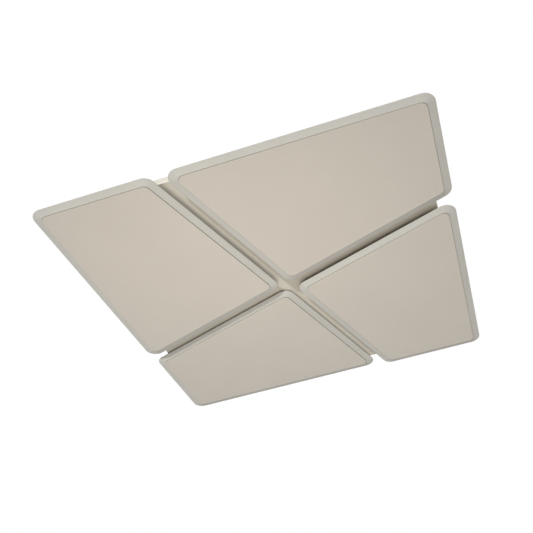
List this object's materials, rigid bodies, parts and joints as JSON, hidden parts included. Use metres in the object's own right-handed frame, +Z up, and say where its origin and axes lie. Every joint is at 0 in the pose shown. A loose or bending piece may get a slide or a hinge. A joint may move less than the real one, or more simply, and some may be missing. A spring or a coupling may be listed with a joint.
{
  "type": "led ceiling light",
  "caption": "Square flush ceiling light: flat frosted panels in a pinwheel at stepped heights on a shallow cover, with lamp boards, driver and slotted ceiling bracket inside.",
  "frame": {"origin": "middle of the bracket's back, in the plane of the ceiling", "axes": "+Z up into the ceiling, the light hangs below; +X right and +Y away from a viewer who looks up from the front"},
  "size_m": [0.6, 0.6, 0.0492],
  "materials": {
    "bracket_steel": "zinc plated, dull",
    "fastener_steel": "zinc plated, fine turned",
    "chassis_paint": "white powder coat, satin",
    "grommet_rubber": "matt black",
    "terminal_plastic": "ivory, satin",
    "terminal_brass": "bright",
    "driver_plastic": "white, fine texture",
    "board_white": "white solder mask on aluminium",
    "lens_clear": "clear, polished",
    "cover_white": "warm white, fine satin",
    "magnet_nickel": "nickel plated",
    "keeper_steel": "plain steel",
    "locator_white": "white, satin",
    "edge_acrylic": "frosted clear, satin, polished round edge",
    "face_opal": "opal, warm grey when unlit, satin"
  },
  "bodies": {
    "ceiling_unit": {"ceiling_bracket": "bracket_steel", "bracket_studs": "fastener_steel", "stud_nuts": "fastener_steel", "chassis": "chassis_paint", "cover_posts": "fastener_steel", "cable_grommet": "grommet_rubber", "terminal_block": "terminal_plastic", "terminal_screws": "terminal_brass", "earth_screw": "terminal_brass", "driver_case": "driver_plastic", "driver_screws": "fastener_steel", "board_screws": "fastener_steel", "led_board_front_left": "board_white", "led_board_front_right": "board_white", "led_board_rear_right": "board_white", "led_board_rear_left": "board_white", "led_lenses_front_left": "lens_clear", "led_lenses_front_right": "lens_clear", "led_lenses_rear_right": "lens_clear", "led_lenses_rear_left": "lens_clear"},
    "cover": {"cover_tray": "cover_white", "cover_screws": "fastener_steel", "riser_front_left": "cover_white", "riser_front_right": "cover_white", "riser_rear_right": "cover_white", "riser_rear_left": "cover_white", "magnets_front_left": "magnet_nickel", "magnets_front_right": "magnet_nickel", "magnets_rear_right": "magnet_nickel", "magnets_rear_left": "magnet_nickel"},
    "panel_front_left": {"keepers_front_left": "keeper_steel", "locator_front_left": "locator_white", "edge_plate_front_left": "edge_acrylic", "face_front_left": "face_opal"},
    "panel_front_right": {"keepers_front_right": "keeper_steel", "locator_front_right": "locator_white", "edge_plate_front_right": "edge_acrylic", "face_front_right": "face_opal"},
    "panel_rear_right": {"keepers_rear_right": "keeper_steel", "locator_rear_right": "locator_white", "edge_plate_rear_right": "edge_acrylic", "face_rear_right": "face_opal"},
    "panel_rear_left": {"keepers_rear_left": "keeper_steel", "locator_rear_left": "locator_white", "edge_plate_rear_left": "edge_acrylic", "face_rear_left": "face_opal"}
  },
  "joints": [
    {"name": "cover_off", "type": "slide", "parent": "ceiling_unit", "child": "cover", "axis": [0, 0, -1], "range_m": [0, 0.06]},
    {"name": "panel_front_left_off", "type": "slide", "parent": "cover", "child": "panel_front_left", "axis": [0, 0, -1], "range_m": [0, 0.04]},
    {"name": "panel_front_right_off", "type": "slide", "parent": "cover", "child": "panel_front_right", "axis": [0, 0, -1], "range_m": [0, 0.04]},
    {"name": "panel_rear_right_off", "type": "slide", "parent": "cover", "child": "panel_rear_right", "axis": [0, 0, -1], "range_m": [0, 0.04]},
    {"name": "panel_rear_left_off", "type": "slide", "parent": "cover", "child": "panel_rear_left", "axis": [0, 0, -1], "range_m": [0, 0.04]}
  ]
}
